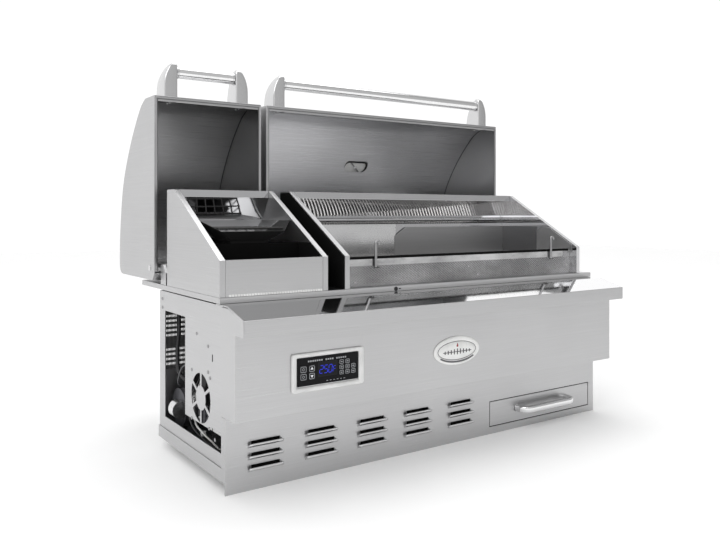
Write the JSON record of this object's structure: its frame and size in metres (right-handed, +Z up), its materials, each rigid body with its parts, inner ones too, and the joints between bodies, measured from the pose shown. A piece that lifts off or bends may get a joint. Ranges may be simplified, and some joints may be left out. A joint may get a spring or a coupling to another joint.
{
  "type": "built-in pellet smoker grill",
  "caption": "Built-in stainless pellet smoker grill with a pellet hopper beside a wide cooking chamber, both rounded lids swung open, a front controller and a grease drawer.",
  "frame": {"origin": "bottom centre of the bounding box, under the feet, lids standing open", "axes": "+Z up, front with the controller and the drawer towards -Y, hopper at -X"},
  "size_m": [1.1036, 0.7174, 0.883],
  "materials": {
    "brushed_stainless": "fine lengthwise brushed grain",
    "polished_stainless": "mirror polished stainless",
    "inner_stainless": "bright rolled, slightly smoky",
    "grid_iron": "seasoned",
    "dark_enamel": "satin heat-resistant coating",
    "black_plastic": "moulded",
    "display_plastic": "glossy smoked window",
    "bezel_plastic": "satin",
    "badge_metal": "satin with a dark ring"
  },
  "bodies": {
    "cabinet": {"bottom_pan": "brushed_stainless", "left_side_panel": "brushed_stainless", "right_side_panel": "brushed_stainless", "rear_panel": "brushed_stainless", "lower_front_panel": "brushed_stainless", "front_fascia": "brushed_stainless", "front_ledge": "polished_stainless", "counter_flange": "brushed_stainless", "hopper_left_wall": "brushed_stainless", "hopper_right_wall": "brushed_stainless", "hopper_front_wall": "brushed_stainless", "hopper_rear_wall": "inner_stainless", "hopper_funnel": "inner_stainless", "hopper_guard": "dark_enamel", "chamber_left_wall": "brushed_stainless", "chamber_right_wall": "brushed_stainless", "chamber_front_wall": "polished_stainless", "chamber_rear_wall": "inner_stainless", "firebox_tub": "dark_enamel", "cooking_grid_left": "grid_iron", "cooking_grid_right": "grid_iron", "heat_deflector": "dark_enamel", "burn_pot": "grid_iron", "igniter_rod": "inner_stainless", "auger_tube": "inner_stainless", "auger_motor": "dark_enamel", "blower_housing": "dark_enamel", "control_bezel": "bezel_plastic", "control_panel": "display_plastic", "badge_plate": "badge_metal", "hinge_bracket_left": "brushed_stainless", "hinge_bracket_middle": "brushed_stainless", "hinge_bracket_right": "brushed_stainless"},
    "hopper_lid": {"hopper_lid_skin": "brushed_stainless", "hopper_lid_end_left": "brushed_stainless", "hopper_lid_end_right": "brushed_stainless", "hopper_lid_liner": "inner_stainless", "hopper_lid_bracket_left": "polished_stainless", "hopper_lid_bracket_right": "polished_stainless", "hopper_lid_handle_tube": "polished_stainless"},
    "main_lid": {"main_lid_skin": "brushed_stainless", "main_lid_end_left": "brushed_stainless", "main_lid_end_right": "brushed_stainless", "main_lid_liner": "inner_stainless", "main_lid_bracket_left": "polished_stainless", "main_lid_bracket_right": "polished_stainless", "main_lid_handle_tube": "polished_stainless", "main_lid_thermometer": "polished_stainless"},
    "drawer": {"drawer_front": "brushed_stainless", "drawer_tray": "dark_enamel", "drawer_handle": "polished_stainless"},
    "broiler_slider": {"broiler_slider": "inner_stainless"},
    "auger_screw": {"auger_screw": "inner_stainless"},
    "blower_wheel": {"blower_wheel": "black_plastic"},
    "cooling_fan": {"cooling_fan": "black_plastic"},
    "power_button": {"power_button": "display_plastic"},
    "menu_button": {"menu_button": "display_plastic"},
    "up_button": {"up_button": "display_plastic"},
    "down_button": {"down_button": "display_plastic"}
  },
  "joints": [
    {"name": "hopper_lid_hinge", "type": "hinge", "parent": "cabinet", "child": "hopper_lid", "pos_m": [-0.415, 0.12025, 0.4045], "axis": [1, 0, 0], "range_deg": [0, 90]},
    {"name": "main_lid_hinge", "type": "hinge", "parent": "cabinet", "child": "main_lid", "pos_m": [0.133, 0.12025, 0.4045], "axis": [1, 0, 0], "range_deg": [0, 90]},
    {"name": "drawer_slide", "type": "slide", "parent": "cabinet", "child": "drawer", "axis": [0, -1, 0], "range_m": [0, 0.2]},
    {"name": "broiler_slide", "type": "slide", "parent": "cabinet", "child": "broiler_slider", "axis": [1, 0, 0], "range_m": [0, 0.13]},
    {"name": "auger_spin", "type": "hinge", "parent": "cabinet", "child": "auger_screw", "pos_m": [-0.2, -0.09675, 0.125], "axis": [1, 0, 0], "continuous": true},
    {"name": "blower_spin", "type": "hinge", "parent": "cabinet", "child": "blower_wheel", "pos_m": [-0.48925, 0.03325, 0.095], "axis": [1, 0, 0], "continuous": true},
    {"name": "cooling_fan_spin", "type": "hinge", "parent": "cabinet", "child": "cooling_fan", "pos_m": [-0.52075, -0.15175, 0.158], "axis": [1, 0, 0], "continuous": true},
    {"name": "power_button_press", "type": "slide", "parent": "cabinet", "child": "power_button", "axis": [0, 1, 0], "range_m": [0, 0.001], "stiffness_N_per_m": 400},
    {"name": "menu_button_press", "type": "slide", "parent": "cabinet", "child": "menu_button", "axis": [0, 1, 0], "range_m": [0, 0.001], "stiffness_N_per_m": 400},
    {"name": "up_button_press", "type": "slide", "parent": "cabinet", "child": "up_button", "axis": [0, 1, 0], "range_m": [0, 0.001], "stiffness_N_per_m": 400},
    {"name": "down_button_press", "type": "slide", "parent": "cabinet", "child": "down_button", "axis": [0, 1, 0], "range_m": [0, 0.001], "stiffness_N_per_m": 400}
  ]
}
